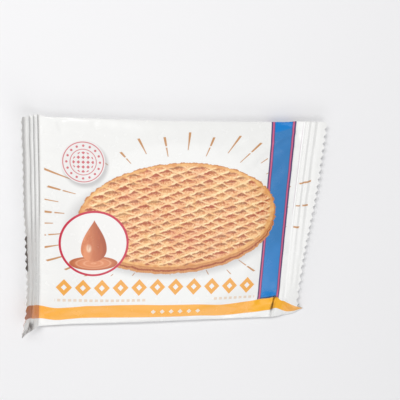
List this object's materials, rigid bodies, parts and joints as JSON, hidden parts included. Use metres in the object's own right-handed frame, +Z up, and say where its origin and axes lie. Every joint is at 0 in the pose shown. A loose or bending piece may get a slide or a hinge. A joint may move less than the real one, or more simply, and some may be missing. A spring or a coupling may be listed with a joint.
{
  "type": "flow-wrapped biscuit pack",
  "caption": "Shut flow-wrap pouch around one round flat biscuit, with crimped zigzag end seals, one standing up, and a folded overlap strip on the back.",
  "frame": {"origin": "on the surface the pack lies on, under the middle of its overall length and width", "axes": "+Z up out of the printed face; +X along the film web from the upturned end seal to the flat one; +Y across the web to the print's top"},
  "size_m": [0.131, 0.095, 0.0127],
  "materials": {
    "film": "glossy white printed flow-wrap film"
  },
  "bodies": {
    "root": {"pack": "film"}
  },
  "joints": []
}
